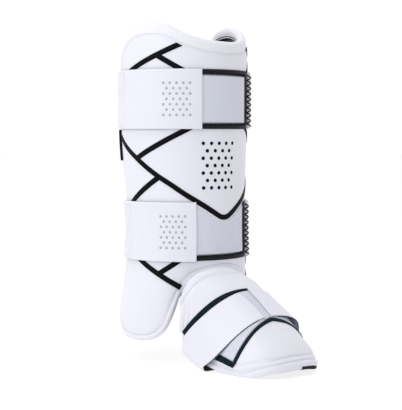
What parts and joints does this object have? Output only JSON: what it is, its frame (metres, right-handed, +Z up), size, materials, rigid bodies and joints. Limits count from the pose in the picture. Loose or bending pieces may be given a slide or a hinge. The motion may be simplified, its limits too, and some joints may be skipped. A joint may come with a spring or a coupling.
{
  "type": "batter leg guard",
  "caption": "Worn padded shin guard with rolled cuff, ankle flap, calf straps closed on hook-and-loop panels, black trim lines and a strapped padded foot guard.",
  "frame": {"origin": "on the leg's axis, at the height midway between the two calf straps, 209 mm above the ground under the shoe", "axes": "+Z up along the shin, -Y towards the toe, +X to the side opposite the ankle flap"},
  "size_m": [0.1472, 0.2419, 0.361],
  "materials": {
    "cover": "satin white synthetic cover over foam",
    "cuff": "soft white knit collar",
    "lining": "black brushed lining",
    "trim": "black welded film, slightly glossy",
    "loop": "grey-blue brushed loop",
    "elastic": "white woven elastic",
    "tab": "smooth white synthetic"
  },
  "bodies": {
    "root": {"shin_shell": "cover", "top_cuff": "cuff", "shin_lining": "lining", "trim_chevron": "trim", "trim_top_long_left": "trim", "trim_top_branch_left": "trim", "trim_upper_arm_left": "trim", "trim_lower_arm_left": "trim", "trim_ankle_long_left": "trim", "trim_ankle_branch_left": "trim", "trim_top_long_right": "trim", "trim_top_branch_right": "trim", "trim_upper_arm_right": "trim", "trim_lower_arm_right": "trim", "trim_ankle_long_right": "trim", "trim_ankle_branch_right": "trim", "trim_rear_edge": "trim", "upper_loop_panel": "loop", "upper_panel_binding": "trim", "lower_loop_panel": "loop", "lower_panel_binding": "trim", "upper_strap_band": "elastic", "upper_strap_tab": "tab", "lower_strap_band": "elastic", "lower_strap_tab": "tab", "foot_pad": "cover", "foot_lining": "lining", "foot_loop_panel": "loop", "foot_trim_front": "trim", "foot_trim_rear": "trim", "foot_trim_low_left": "trim", "foot_trim_low_right": "trim", "foot_strap": "tab", "ankle_tab": "lining"}
  },
  "joints": []
}
